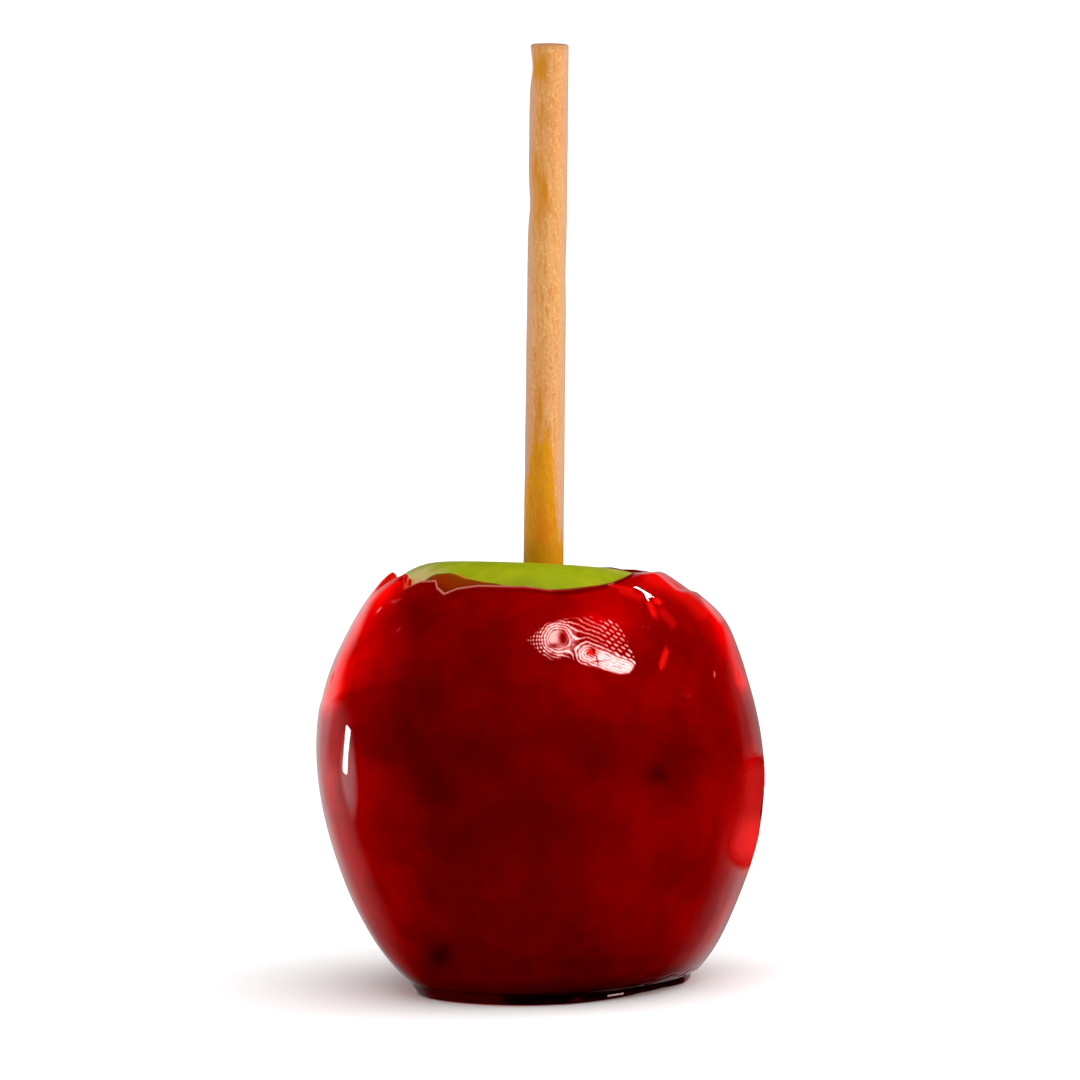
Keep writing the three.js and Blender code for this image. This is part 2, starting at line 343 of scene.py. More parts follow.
def refine(bm, row, box, rows, cuts):
    """Divides the edges of the faces among the first rows of a lathed skin whose middle is
    between two azimuths and two heights, and out past a radius."""
    low, high, under, over, out = box
    edges = set()
    for face in bm.faces:
        co = face.calc_center_median() / MM
        first = max(vert[row] for vert in face.verts) < rows
        if first and low < azimuth_of(co) < high and under < co.z < over and co.xy.length > out:
            edges.update(face.edges)
    bmesh.ops.subdivide_edges(bm, edges=list(edges), cuts=cuts, use_grid_fill=True)


def new_object(name, data):
    """Makes an object of some data and puts it in the scene."""
    made = bpy.data.objects.new(name, data)
    bpy.context.collection.objects.link(made)
    return made


def finish_piece(bm, name, material, sharp=50.0):
    """Makes an object of a bmesh: smooth faces, creased where they meet steeply."""
    limit = radians(sharp)
    for face in bm.faces:
        face.smooth = True
    for edge in bm.edges:
        edge.smooth = not (edge.is_manifold and edge.calc_face_angle(0) > limit)
    mesh = bpy.data.meshes.new(name)
    bm.to_mesh(mesh)
    bm.free()
    mesh.materials.append(material)
    return new_object(name, mesh)


# ---- Material helpers ----


class Nodes:
    """The node tree of a material or world, with short calls for the nodes used here."""

    def __init__(self, owner, output="OutputMaterial"):
        owner.use_nodes = True
        self.owner = owner
        self.tree = owner.node_tree
        self.tree.nodes.clear()
        self.output = self.tree.nodes.new("ShaderNode" + output)

    def add(self, kind, inputs=None, **settings):
        node = self.tree.nodes.new("ShaderNode" + kind)
        for key, value in settings.items():
            setattr(node, key, value)
        for key, value in (inputs or {}).items():
            self.put(node.inputs[key], value)
        return node

    def put(self, socket, value):
        if isinstance(value, bpy.types.NodeSocket):
            self.tree.links.new(value, socket)
        else:
            socket.default_value = value

    def coords(self, scale=(1, 1, 1), turn=(0, 0, 0)):
        place = self.add("TexCoord").outputs["Object"]
        return self.add("Mapping", {"Vector": place, "Scale": scale, "Rotation": turn}).outputs["Vector"]

    def noise(self, vector, scale, detail=4.0, rough=0.55, distort=0.0):
        inputs = {"Vector": vector, "Scale": scale, "Detail": detail, "Roughness": rough}
        inputs["Distortion"] = distort
        return self.add("TexNoise", inputs).outputs["Fac"]

    def range(self, value, low, high, to_low=0.0, to_high=1.0, soft=True):
        inputs = {"Value": value, "From Min": low, "From Max": high, "To Min": to_low, "To Max": to_high}
        kind = "SMOOTHSTEP" if soft else "LINEAR"
        return self.add("MapRange", inputs, interpolation_type=kind).outputs["Result"]

    def math(self, operation, a, b):
        node = self.add("Math", operation=operation)
        self.put(node.inputs[0], a)
        self.put(node.inputs[1], b)
        return node.outputs[0]

    def plus(self, a, b):
        return self.math("ADD", a, b)

    def times(self, a, b):
        return self.math("MULTIPLY", a, b)

    def mix(self, share, a, b, blend="MIX"):
        node = self.add("Mix", data_type="RGBA", blend_type=blend)
        self.put(node.inputs["Factor"], share)
        self.put(node.inputs["A"], a)
        self.put(node.inputs["B"], b)
        return node.outputs["Result"]

    def coat(self, base, mask, low, high, most, colour):
        """Lays a colour over a base where a mask goes from low to high."""
        return self.mix(self.range(mask, low, high, 0.0, most), base, colour + (1,))

    def attribute(self, name):
        return self.add("Attribute", attribute_name=name).outputs["Fac"]

    def surface(self, inputs):
        """Gives a material its plain shader, and returns the material."""
        shader = self.add("BsdfPrincipled", inputs)
        self.put(self.output.inputs["Surface"], shader.outputs[0])
        return self.owner


def paint(piece, **fields):
    """Numbers for each vertex, from its place in millimetres and its row, kept as
    attributes that the material reads."""
    mesh = piece.data
    rows = [row.value for row in mesh.attributes["row"].data]
    for name, value_at in fields.items():
        values = [value_at(vert.co / MM, row) for vert, row in zip(mesh.vertices, rows)]
        mesh.attributes.new(name, "FLOAT", "POINT").data.foreach_set("value", values)


# ---- Settings ----


def colour_setting(name, description, *colour):
    return FloatVectorProperty(
        name=name, description=description, default=(*colour, 1), subtype="COLOR", size=4
    )


def length_setting(name, description, millimetres):
    return FloatProperty(
        name=name, description=description, default=millimetres * MM, unit="LENGTH", subtype="DISTANCE"
    )


def angle_setting(name, description, turn):
    return FloatProperty(
        name=name, description=description, default=radians(turn), unit="ROTATION", subtype="ANGLE"
    )


class FruitSettings(bpy.types.PropertyGroup):
    skin: colour_setting("Skin", "Colour of the bare apple", 0.19, 0.222, 0.001)
    sheen: FloatProperty(
        name="Roughness", description="How dull the waxy skin is", default=0.36, min=0, max=1
    )


class CandySettings(bpy.types.PropertyGroup):
    colour: colour_setting("Candy", "The colour that the candy lets through", 0.977, 0.13, 0.0)
    depth: FloatProperty(
        name="Depth of colour", description="Absorption per metre of candy", default=1500.0, min=0
    )


class StickSettings(bpy.types.PropertyGroup):
    top_radius: length_setting("Top radius", "Radius of the stick at its bare end", 3.17)
    bottom_radius: length_setting("Bottom radius", "Radius of the stick inside the apple", 3.42)
    wood: colour_setting("Wood", "Bare wood", 0.475, 0.212, 0.062)
    stain: colour_setting("Stain", "Wood soaked with syrup", 0.43, 0.16, 0.001)


class StageSettings(bpy.types.PropertyGroup):
    floor: colour_setting("Floor", "Colour of the floor", 0.86, 0.86, 0.86)
    elevation: angle_setting("Elevation", "How far the camera looks down", LOOK_DOWN)
    roll: angle_setting("Roll", "How far the camera leans to its right", ROLL)


SETTINGS = {
    "toffee_fruit": FruitSettings,
    "toffee_candy": CandySettings,
    "toffee_stick": StickSettings,
    "toffee_stage": StageSettings,
}


# ---- The apple ----

APPLE_COLUMNS = 300


def run(name, steps, start=0.0, end=1.0):
    """Rows of a section: the run that each belongs to and its share of that run."""
    return [(name, lerp(start, end, i / steps)) for i in range(steps)]


def row_at(rows, row):
    """The run and the share of a whole row or of a place between two."""
    whole = min(int(row + 1e-4), len(rows) - 1)
    name, share = rows[whole]
    part = row - whole
    if part > 1e-3 and rows[whole + 1][0] == name:
        share = lerp(share, rows[whole + 1][1], part)
    return name, share


APPLE_ROWS = run("basin", 10) + run("belly", 44) + run("shoulder", 110) + run("cavity", 36)
APPLE_ROWS.append(("cavity", 1.0))
APPLE_CURVES = {"basin": BASIN, "belly": BELLY, "shoulder": SHOULDER, "cavity": CAVITY}

# The azimuths over which the marks on the front fade, and those between which a sheen is painted on the bare
# skin, with their fade.
SHOWN = (112, 82)
PAINTED_SHEEN_SPAN = (-98, -52, 14)

# How much light is painted on the fruit under the candy, the least that it is anywhere, and what is added
# between two heights.
LIGHT = 0.55
LEAST_LIGHT = 0.05
LIGHT_RISES = ((0.25, 38, 54), (0.2, 60, 68), (0.1, 12, 2), (0.4, 8, 3.5))

# The painted light added elsewhere: towards the sides, low at the left, along the outline with how uneven it
# is, and above the line where the loose flap ends, with the painted shade of that line and its half width.
# Each pair is the two places between which it comes in.
SIDE_LIGHT = {"more": 0.08, "azimuth": (25, 60)}
LEFT_LIGHT = {"more": 0.28, "left": (19, 25), "up": (42, 34)}
LIMB_LIGHT = {"more": 0.5, "uneven": 0.3, "azimuth": (56, 75), "height": (52, 46)}
FLAP_LIGHT = {"more": 0.3, "rise": (-0.1, 0.3), "left": (23, 33), "line": 0.1, "half": 0.8}

# Patches of painted light and shade on the fruit under the candy, in millimetres right and up as the camera
# sees them: place, half width, half height, how much is added.
PATCHES = (
    (16.7, 34.3, 2.6, 2, -0.32), (-18.3, 4.9, 2, 2.3, -0.42), (-22, 61, 3.4, 4, -0.38),
    (-21, 48, 4.5, 6.5, -0.28), (-14, 51, 5, 3, -0.08), (-24, 38.5, 5, 6, -0.24),
    (-19, 32, 4, 5, -0.12), (-12.1, 39.3, 2.4, 1.8, -0.1), (-14.6, 30.2, 2.2, 2, -0.08),
    (3.5, 28.5, 2.6, 2, -0.08), (0, 40, 14, 4, -0.06), (20, 40, 10, 6, -0.16),
    (10, 24, 6, 9, 0.16), (1.1, -1.2, 2.4, 1.2, -0.12), (-12.1, -2, 2.2, 1, -0.12),
    (6.6, 59.2, 4.4, 2.3, 1), (10.5, 57, 3.6, 3, 0.4), (23, 5.5, 4.5, 6, 0.45),
    (28, 24, 4, 9, 0.1), (-31, 57.5, 3.4, 7.5, 0.5), (32, 42.5, 4, 6, -0.32),
    (3, 64, 9, 3, 0.1), (10, 62, 8, 5, 0.15), (24, 53, 8, 7, -0.28), (-4, 60, 6, 4, 0.15),
    (-6, 53, 9, 5, 0.12),
)

# Bands of painted light on the fruit under the candy: the line along the brightest of each, its half width,
# how light it is and how unevenly, how much less at the outline, and the line where it ends below at the
# left.
PAINTED_LIGHT_BANDS = (
    ((-25.7, 66.2), (-28, 63.7), (-30.4, 60.9), (-32.9, 57.1), (-34.6, 53.3), (-35.6, 49.2), (-36.6, 46.4)),
    ((15.9, 67), (19.2, 65.7), (22.5, 63.5), (24.7, 61.2), (26.8, 57.9), (28.6, 54.1), (30.3, 50)),
)
PAINTED_BAND_HALF = 1.8
PAINTED_BAND_LIGHT = 2
PAINTED_BAND_UNEVEN = 1.6
PAINTED_BAND_LIMB = {"less": 0.6, "azimuth": (76, 92)}
PAINTED_BAND_LINE = ((-37.7, 45.9), (-35.2, 46.7), (-31.1, 48), (-26.2, 49.2), (-20, 51))


def shown(azimuth):
    """1 on the side of the apple that the marks below are laid out for, and 0 behind."""
    return smooth(abs(azimuth), *SHOWN)


def skin_at(row, azimuth):
    """The point of the even section at a row."""
    name, share = row_at(APPLE_ROWS, row)
    return bezier(APPLE_CURVES[name], share)


def skin_light(co, row):
    """How much light is painted on the fruit under the candy, where 1 is bare skin."""
    light = LIGHT + sum(amount * smooth(co.z, low, high) for amount, low, high in LIGHT_RISES)
    azimuth = azimuth_of(co)
    light += SIDE_LIGHT["more"] * smooth(abs(azimuth), *SIDE_LIGHT["azimuth"])
    front = shown(azimuth)
    if front == 0:
        return light
    seen = as_seen(co)
    low = smooth(-seen[0], *LEFT_LIGHT["left"]) * smooth(seen[1], *LEFT_LIGHT["up"])
    more = LEFT_LIGHT["more"] * low
    limb = LIMB_LIGHT["more"] + LIMB_LIGHT["uneven"] * noise.noise(co / 7)
    limb *= smooth(abs(azimuth), *LIMB_LIGHT["azimuth"])
    more += limb * smooth(co.z, *LIMB_LIGHT["height"])
    for right, up, wide, tall, amount in PATCHES:
        more += amount * spot(seen[0] - right, seen[1] - up, wide, tall)
    # Bands of painted light; at the left, more painted light above the band's lower line and painted shade
    # along it.
    painted_band = max(hump(to_path(seen, path), PAINTED_BAND_HALF) for path in PAINTED_LIGHT_BANDS)
    painted_band *= 1 - PAINTED_BAND_LIMB["less"] * smooth(abs(azimuth), *PAINTED_BAND_LIMB["azimuth"])
    more += (PAINTED_BAND_LIGHT + PAINTED_BAND_UNEVEN * noise.noise(co / 5)) * painted_band
    if seen[0] < 0:
        rise = seen[1] - along_stops(PAINTED_BAND_LINE, seen[0])
        above = smooth(rise, *FLAP_LIGHT["rise"]) * smooth(-seen[0], *FLAP_LIGHT["left"])
        line = hump(to_path(seen, PAINTED_BAND_LINE[1:4]), FLAP_LIGHT["half"])
        more += FLAP_LIGHT["more"] * above - FLAP_LIGHT["line"] * line
    return max(LEAST_LIGHT, light + front * more)


def past_edge(co, row):
    """Millimetres from the candy's torn edge up the skin, less than 0 under the candy."""
    name, share = row_at(APPLE_ROWS, row)
    if name == "cavity":
        return FAR_PAST
    if name != "shoulder":
        return -FAR_PAST
    return (share - round_stops(TORN_EDGE, azimuth_of(co))) * SHOULDER_LENGTH


def glaze_left(co, row):
    """Millimetres from a point of the skin to the end of the glaze."""
    return round_stops(GLAZE_REACH, azimuth_of(co)) - past_edge(co, row)


def cavity_depth(co, row):
    """1 round the stick, where the skin is russet."""
    return smooth(co.xy.length, 10, 3.5)


def haze(co, row):
    """How much sheen is painted on the bare skin past the edge at the left."""
    return between(azimuth_of(co), *PAINTED_SHEEN_SPAN) * smooth(past_edge(co, row), 11, 1)


def apple_material(settings):
    n = Nodes(bpy.data.materials.new("apple_skin"))
    fine = n.coords()
    mottle = n.noise(fine, 210, 5, 0.62)
    broad = n.noise(fine, 60, 3, 0.5)
    streak = n.noise(n.coords(scale=(320, 320, 60)), 1.0, 4, 0.6)
    skin = n.coat(settings.skin, mottle, 0.35, 0.68, 1.0, (0.245, 0.266, 0.002))
    skin = n.coat(skin, broad, 0.4, 0.65, 0.6, (0.13, 0.178, 0.001))
    skin = n.coat(skin, streak, 0.55, 0.75, 0.25, (0.245, 0.25, 0.006))
    dots = n.add("TexVoronoi", {"Vector": fine, "Scale": 380.0}).outputs["Distance"]
    skin = n.mix(n.range(dots, 0.04, 0.13, 0.3, 0.0), skin, (0.3, 0.33, 0.05, 1))
    russet = n.times(n.attribute("cavity"), n.range(streak, 0.35, 0.6, 0.35, 1.0))
    skin = n.mix(russet, skin, (0.2, 0.12, 0.03, 1))
    # A painted sheen, pale tan, on the bare skin at the left.
    skin = n.mix(n.times(n.attribute("haze"), 0.8), skin, (0.42, 0.31, 0.15, 1))
    rag = n.range(mottle, 0.3, 0.7, -0.25, 0.25, False)
    glaze = n.range(n.plus(n.attribute("glaze"), rag), -0.1, 0.35)
    skin = n.mix(n.times(glaze, 0.85), skin, (0.34, 0.12, 0.006, 1))
    # Under the candy the colour is the painted light, broken up a little at random, in red with a little
    # green.
    blotch = n.range(n.noise(fine, 110, 5, 0.6), 0.3, 0.7, 1.2, 0.76)
    fleck = n.range(n.noise(fine, 420, 3, 0.6), 0.3, 0.7, 1.08, 0.92, False)
    light = n.times(n.times(n.attribute("light"), blotch), fleck)
    parts = {"Red": light, "Green": n.times(light, 0.3)}
    under = n.add("CombineColor", parts).outputs[0]
    under = n.mix(1.0, under, (0.4, 0.3, 0.1, 1), "MULTIPLY")
    covered = n.range(n.attribute("past"), -0.35, -0.1, 1.0, 0.0)
    colour = n.mix(covered, skin, under)
    bump = n.add("Bump", {"Height": mottle, "Strength": 0.15, "Distance": 0.2 * MM})
    inputs = {"Base Color": colour, "Roughness": settings.sheen, "Normal": bump.outputs[0]}
    inputs.update({"IOR": 1.42, "Specular IOR Level": 0.07})
    return n.surface(inputs)


class TOFFEE_OT_apple(bpy.types.Operator):
    """Make the apple that fills the candy shell and shows above its torn edge"""

    bl_idname = "toffee.make_apple"
    bl_label = "Apple"

    def execute(self, context):
        bm, row = lathe([skin_at(i, 0) for i in range(len(APPLE_ROWS))], APPLE_COLUMNS)
        form(bm, row, skin_at)
        piece = finish_piece(bm, "apple_fruit", apple_material(context.scene.toffee_fruit), 80)
        paint(piece, light=skin_light, past=past_edge, glaze=glaze_left, cavity=cavity_depth, haze=haze)
        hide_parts("apple")
        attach(piece, "root")
        return {"FINISHED"}


# ---- The candy ----

# The candy's inside reaches a little into the fruit, so that no air gap shows.
CANDY_COLUMNS = 360
INTO_FRUIT = -0.05

CANDY_ROWS = run("under", 4) + run("corner", 4) + run("flank", 3) + run("skirt", 52)
CANDY_ROWS += run("shoulder", 56) + run("lip", 6) + run("glaze", 4) + [("glaze", 1.0)]
OUTER_ROWS = len(CANDY_ROWS)
CANDY_ROWS += run("inner shoulder", 24, 1, 0) + run("inner belly", 20, 1, 0)
CANDY_ROWS += run("inner basin", 5, 1, 0) + [("inner basin", 0.0)]

# Where the candy's skin needs finer faces, for the patch's folds, the scar and the foot's
# plates: azimuths, heights, least radius, and how often each edge is cut.
FINER = ((-5, 33, 53.5, 66.5, 26.5, 4), (79, 93, 22, 34.5, 34, 2), (20, 76, 0.5, 4.5, 20, 2))

# How far the foot stands out (+) or in (-) at each azimuth, and the azimuths between which
# its side runs up without an undercut.
FOOT_EDGE = (
    (-180, 0), (-85, 0), (-62, 0.5), (-12, 0.5), (8, 0), (24, -1), (45, -2), (60, -1.6),
    (72, -0.2), (90, 0), (180, 0),
)
FLUSH_SPAN = (-78, 2, 14)

# The azimuths, with their fade, between which the candy is: cloudy under its edge at the left, clear at the
# foot, darkened to black and dark brown at the foot by painted shade, and amber at its thin edge.
CLOUDY_SPAN = (-112, -66, 10)
CLEAR_SPAN = (-12, 60, 10)
BLACK_SPAN = (-18, 68, 14)
BROWN_SPAN = (-70, 68, 14)
AMBER_SPAN = (-48, 180, 8)

# How cloudy the candy is, where 1 lets nothing through: under its edge at the left, on its torn edge, at its
# foot and less so where it is clear, along the band of painted light at the right, on the dull skin at the
# scar and low on it. Then how dark the painted shade of the brown foot is.
CLOUD = {"left": 0.5, "edge": 0.5, "foot": 0.09, "clear": 0.8, "band": 0.32, "dull": 0.16, "low": 0.34}
BROWN = 0.6

# How uneven the candy's skin is, and the thin stepped plates at the foot's right: how far
# they stand out, where they are and where they fade out, and their number in a millimetre.
UNEVEN_CANDY = 0.03
PLATES = {"rise": 0.1, "span": (32, 68, 8), "top": (4, 2.8), "base": (1.4, 2), "steps": 1.1}

# A flat scar where a flake of candy has sprung off: its ends, as shares of the way up the
# skirt, and its width and depth in millimetres.
SCAR = {"azimuth": 86, "low": 0.74, "high": 0.95, "width": 8, "inset": 0.55}

# The dull skin round the scar, as the camera sees it: a line along it and its half width.
DULL = ((34.8, 33.6), (34.2, 28), (32.6, 22.6))
DULL_HALF = 4.5

# The crinkled patch, laid out in millimetres right and up from its left whorl: the whorl's
# place on the candy and its size, how softly the rings round the two whorls meet, the line
# that the right whorl is drawn out along, and the patch's outline. A wave is the distance
# from fold to fold: near the whorls, far from them, across the folds and at the left end.
CRINKLE = {"azimuth": 5.9, "height": 61.1, "radius": 30.5, "slope": 0.9, "depth": 0.008}
WAVE = {"near": 0.45, "far": 0.7, "cross": 0.8, "end": 0.66}
WHORL = 1.5
MEETING = 0.8
LONG_WHORL = ((4.5, -2.9), (10.3, -6.2))
CRINKLE_TOP = (
    (-5, 0.3), (-3.8, 1.4), (-1.8, 2.9), (1.5, 3.5), (6.2, 3.5), (7.2, 2.6), (8.8, 2.9),
    (10.2, 2.5), (11.1, 1), (11.8, -1.4), (12.2, -4.4),
)
CRINKLE_BASE = (
    (-5, -0.2), (-3.4, -2), (-1.8, -3.8), (0.6, -3.3), (1.8, -3.7), (3.2, -4.7),
    (5.8, -5.7), (7.3, -6.3), (9, -7), (10.6, -7), (11.4, -6.3), (12.2, -5.4),
)

# Spots where the patch's painted highlight is weaker: right, up, half width, half height, strength.
CRINKLE_SPOTS = (
    (0.8, 0.1, 0.75, 1.3, 0.9), (-0.8, -1.1, 0.9, 0.45, 0.6), (-1.2, -2.6, 0.5, 0.4, 0.5),
    (5.1, -2.6, 0.7, 0.8, 1.3), (5.8, -4.2, 0.12, 0.8, 0.7), (5.9, -4.3, 1.4, 0.12, 0.7),
)

# How much highlight is painted along the torn edge at each azimuth.
PALE_EDGE = (
    (-180, 0.2), (-70, 0.2), (-46, 0.5), (-36, 0.65), (-20, 0.6), (-4, 0.35), (6, 0.1),
    (30, 0.05), (44, 0.0), (180, 0.2),
)

# Short strokes on the candy, as the camera sees them: start, end, half width, strength.
# Their core, as a share of the half width, is at full strength.
STROKE_CORE = 0.4
# Red strokes stand in for red glints: they cloud the candy so that it scatters its red.
RED_MARKS = (
    ((15.8, 62.7), (16.8, 60.6), 0.55, 0.45), ((18, 61.2), (19.8, 59.2), 0.9, 0.16),
    ((18.6, 54.8), (17.8, 52.2), 0.55, 0.45), ((11.2, 64.8), (14.4, 63.6), 0.8, 0.2),
    ((9.2, 65.7), (13, 64.9), 0.4, 0.35), ((16.8, 63.2), (17.4, 62.9), 0.5, 0.7),
    ((6, 54.9), (6.2, 54.3), 0.5, 0.8),
)
# Pale strokes are painted highlights and glints; the last is a glint on the foot.
PALE_MARKS = (
    ((-29.1, 61.1), (-28.5, 61.9), 0.2, 0.5), ((-27.4, 62.6), (-25.2, 63.3), 0.16, 0.2),
    ((-26.8, 58.1), (-25.4, 58.4), 0.16, 0.16), ((26.3, 51.4), (26.5, 51), 0.16, 0.45),
    ((21.4, 47.5), (22.6, 47.5), 0.5, 0.06), ((14, 59), (15.9, 58.8), 0.4, 0.05),
    ((24.9, 63.4), (27.6, 60), 0.8, 0.3), ((9, -2.15), (11.5, -1.75), 0.15, 1),
)

# Small blisters: azimuth, height, radius, height above the candy, and the candy's own
# radius that turns degrees into millimetres for them.
SIDE_RADIUS = 30
BLISTERS = (
    (43.3, 64.8, 0.9, 0.14), (48.1, 63.3, 1.1, 0.16), (40.3, 57.4, 0.7, 0.16),
    (-20.9, 36.9, 0.8, 0.05), (29.3, 39.4, 1, 0.06), (-82, 53, 0.8, 0.16),
    (77, 51, 0.6, 0.14),
)


def crinkle(azimuth, height):
    """The fine folds of the crinkled patch, as rings that run round its round whorl and
    its long one: how far they stand out, and how much highlight is painted on their crests."""
    right = radians(degrees_from(CRINKLE["azimuth"], azimuth)) * CRINKLE["radius"]
    up = (height - CRINKLE["height"]) / CRINKLE["slope"]
    if not CRINKLE_TOP[0][0] < right < CRINKLE_TOP[-1][0]:
        return 0.0, 0.0
    top = along_stops(CRINKLE_TOP, right) - up
    base = up - along_stops(CRINKLE_BASE, right)
    reach = smooth(min(top, base), -0.1, 0.5)
    if reach == 0:
        return 0.0, 0.0
    wobble = 0.2 * noise.noise(Vector((right, up, 3.1)) * 0.9)
    round_off = hypot(right, up)
    long_off = to_path((right, up), LONG_WHORL)
    level = -MEETING * log(exp(-round_off / MEETING) + exp(-long_off / MEETING)) + wobble
    wave = lerp(WAVE["near"], WAVE["far"], smooth(right, 1, 4))
    folds = cos(tau * (min(level, WHORL) / WAVE["near"] + max(0.0, level - WHORL) / wave))
    cross = cos(tau * (right * 0.92 + up * 0.4) / WAVE["cross"])
    folds += 0.8 * cross * smooth(right, 6.8, 9.0) * smooth(long_off, 1.0, 2.4)
    folds += 0.6 * cos(tau * up / WAVE["end"]) * smooth(-right, 1.6, 3.0)
    cover = 0.62 - 0.8 * smooth(long_off, 0.8, 2.6) + 0.6 * smooth(round_off, 4.2, 2.0)
    cover += 0.25 * noise.noise(Vector((right, up, 6.7)) * 2.3)
    crest = smooth(folds, lerp(-0.4, 0.1, smooth(long_off, 1, 2.6)), 1.2)
    painted_crest_highlight = 0.7 if round_off < WHORL else min(0.9, max(0.0, 0.8 * crest + cover))
    for x, y, wide, tall, amount in CRINKLE_SPOTS:
        painted_crest_highlight -= amount * spot(right - x, up - y, wide, tall)
    calm = 1 - 0.96 * smooth(min(round_off, long_off), 1.5, 2.6)
    return CRINKLE["depth"] * reach * folds * calm, max(0.0, painted_crest_highlight * reach)


def relief(azimuth, height):
    """What stands out from the candy's even surface, in millimetres."""
    rise = UNEVEN_CANDY * noise.noise(Vector((azimuth / 9, height / 5, 0.5)))
    rise += crinkle(azimuth, height)[0]
    for where, level, radius, high in BLISTERS:
        off = hypot(radians(degrees_from(where, azimuth)) * SIDE_RADIUS, height - level)
        if off < radius * 2.5:
            rise += high * hump(off, radius)
    plates = smooth(height, *PLATES["top"]) * smooth(height, *PLATES["base"])
    plates *= between(azimuth, *PLATES["span"])
    step = height * PLATES["steps"] + 0.6 * noise.noise(Vector((azimuth / 6, height * 0.5, 7)))
    return rise + PLATES["rise"] * plates * (step % 1.0 - 0.5)


def scarred(point, azimuth):
    """A point of the side, cut back to the flat scar."""
    low = bezier(SKIRT, SCAR["low"])
    high = bezier(SKIRT, SCAR["high"])
    off = radians(degrees_from(SCAR["azimuth"], azimuth))
    if abs(off) > 0.5:
        return point
    rag = noise.noise(Vector((azimuth / 3, point[1] / 2.5, 2.2)))
    share = (point[1] - low[1]) / (high[1] - low[1]) + 0.08 * rag
    across = 2 * point[0] * sin(off) / SCAR["width"]
    if abs(across) ** 3 + abs(2 * share - 1) ** 3 > 1 + 0.8 * rag:
        return point
    limit = lerp(low[0] - SCAR["inset"], high[0], share) / cos(off)
    return min(point[0], limit), point[1]


def candy_at(row, azimuth):
    """The candy's section: up its outside, over the torn edge and the thin glaze past it,
    and down its inside to the flower end."""
    name, share = row_at(CANDY_ROWS, row)
    foot = FOOT["radius"] + ripple(FOOT_WOBBLE, radians(azimuth))
    foot += round_stops(FOOT_EDGE, azimuth)
    corner = FOOT["round"]
    if name == "under":
        return (foot - corner) * share, 0.0
    if name == "corner":
        turn = pi / 2 * share
        return foot - corner * (1 - sin(turn)), corner * (1 - cos(turn))
    if name == "flank":
        flush = between(azimuth, *FLUSH_SPAN)
        waist = FOOT["waist"] * (1 - flush)
        out = lerp(foot, SKIRT[0][0], share * flush)
        return out - waist * sin(pi * share), lerp(corner, SKIRT[0][1], share)
    slack = SLACK["all"] + SLACK["side"] * between(azimuth, *SLACK["span"])
    if name == "skirt":
        out = (candy_thickness(share - 1, azimuth) - CANDY) * smooth(share, 0, 0.4) - slack
        point = offset(SKIRT, share, out)
        point = offset(SKIRT, share, out + relief(azimuth, point[1]))
        return scarred(point, azimuth)
    edge = round_stops(TORN_EDGE, azimuth)
    if name == "shoulder":
        out = candy_near_edge(share * edge, edge, azimuth) - slack
        point = on_fruit(offset(SHOULDER, share * edge, out), azimuth)
        return offset(SHOULDER, share * edge, out + relief(azimuth, point.z))
    lip = EDGE_THICKNESS + GAP - SLACK["all"]
    if name == "lip":
        turn = pi / 2 * share
        along = heading(SHOULDER, edge)
        x, y = offset(SHOULDER, edge, lerp(GLAZE, lip, cos(turn)))
        out = EDGE_ROUND * sin(turn)
        return x + along[0] * out, y + along[1] * out
    if name == "glaze":
        reach = (EDGE_ROUND + round_stops(GLAZE_REACH, azimuth) * share) / SHOULDER_LENGTH
        height = GLAZE * (1 - share**2) if share < 1 else INTO_FRUIT
        return offset(SHOULDER, edge + reach, height)
    if name == "inner shoulder":
        return offset(SHOULDER, edge * share, INTO_FRUIT)
    curve = {"inner belly": BELLY, "inner basin": BASIN}[name]
    return offset(curve, share, INTO_FRUIT)


def on_marks(seen, marks):
    """The strength of the strongest of some short strokes, each falling to 0 at its edge."""
    return max(
        strength * smooth(to_path(seen, (start, end)), half, half * STROKE_CORE)
        for start, end, half, strength in marks
    )


def cloudy(co, row):
    """How much of the light the candy scatters, from its small bubbles, and more where it stands in for
    light: red glints, the band of painted light at the right, the glow of the scar and the painted
    highlights.
    """
    azimuth = azimuth_of(co)
    name = row_at(CANDY_ROWS, row)[0]
    total = 0.0
    if name in ("shoulder", "lip", "glaze"):
        total += CLOUD["left"] * between(azimuth, *CLOUDY_SPAN) * smooth(co.z, 65.5, 67.5)
    total += CLOUD["edge"] * pale_edge(co, row)
    if name in ("flank", "corner"):
        total += CLOUD["foot"] * (1 - CLOUD["clear"] * between(azimuth, *CLEAR_SPAN))
        total += 0.9 * pale(co, row)
    if name in ("shoulder", "skirt") and shown(azimuth) > 0:
        seen = as_seen(co)
        marks = on_marks(seen, RED_MARKS)
        marks += CLOUD["band"] * hump(to_path(seen, PAINTED_LIGHT_BANDS[1][:4]), 1.3)
        marks += CLOUD["dull"] * hump(to_path(seen, DULL), DULL_HALF)
        marks += CLOUD["low"] * hump(to_path(seen, DULL[1:]), 3.0) * smooth(-seen[1], -29, -25)
        total += shown(azimuth) * marks + pale(co, row)
    return min(0.95, total)


def pale_edge(co, row):
    """How much highlight is painted on the candy's torn edge, and 0 off it."""
    name, share = row_at(CANDY_ROWS, row)
    if name != "lip":
        return 0.0
    return round_stops(PALE_EDGE, azimuth_of(co)) * smooth(share, 0.35, 0.0)


